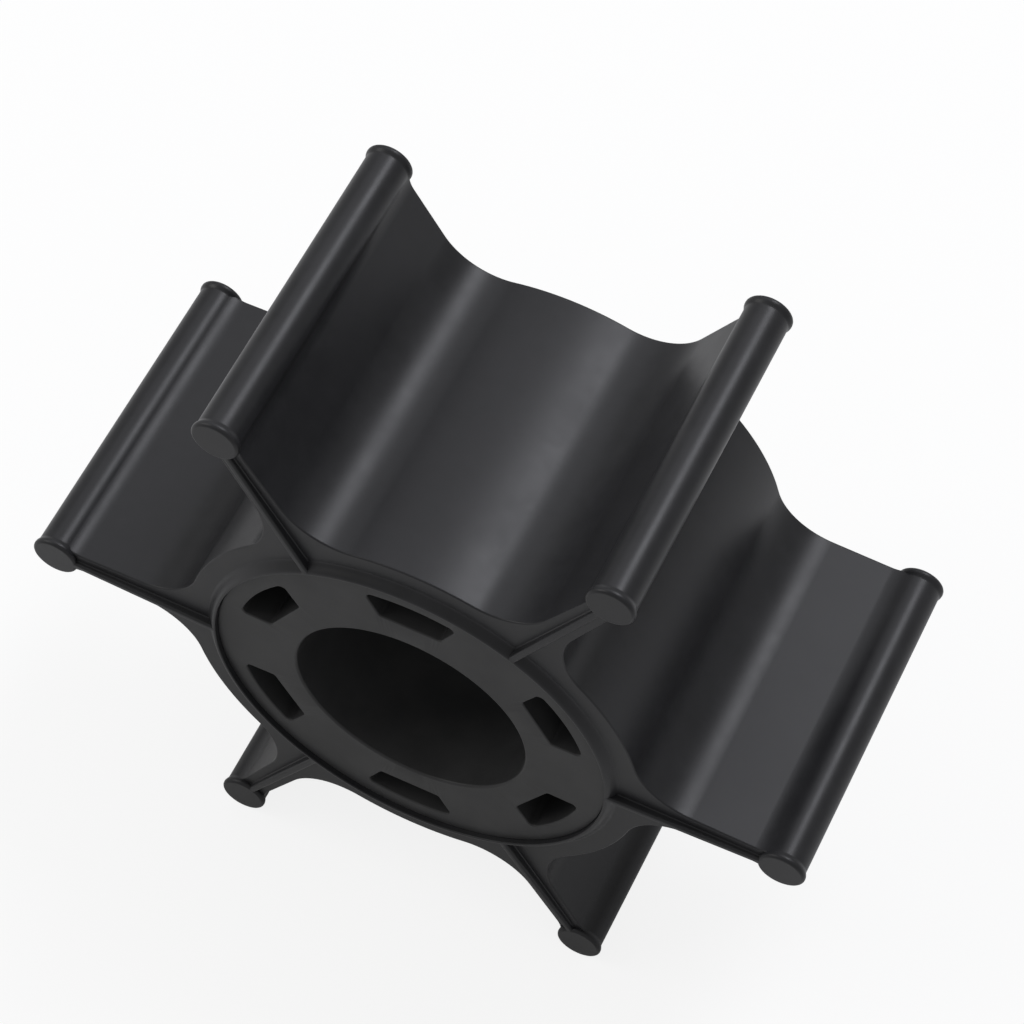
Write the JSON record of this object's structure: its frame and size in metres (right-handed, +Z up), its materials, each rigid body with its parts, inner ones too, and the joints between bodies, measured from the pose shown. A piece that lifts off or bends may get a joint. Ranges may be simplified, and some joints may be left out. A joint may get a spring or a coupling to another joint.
{
  "type": "pump impeller",
  "caption": "Flexible-vane pump impeller: rubber moulding with radial vanes, tip beads and thin sealing lips, bonded round a rigid hub insert with a plain shaft bore and blind pockets.",
  "frame": {"origin": "on the shaft axis, at mid-width", "axes": "+Y along the shaft axis, away from the end that faces the viewer; +Z up, with the two lowest vanes resting on the ground and one vane along +X"},
  "size_m": [0.0576, 0.0252, 0.0504],
  "materials": {
    "vane_rubber": "satin moulded rubber",
    "insert_moulding": "matt filled plastic"
  },
  "bodies": {
    "root": {"rubber_vanes": "vane_rubber", "hub_insert": "insert_moulding"}
  },
  "joints": []
}
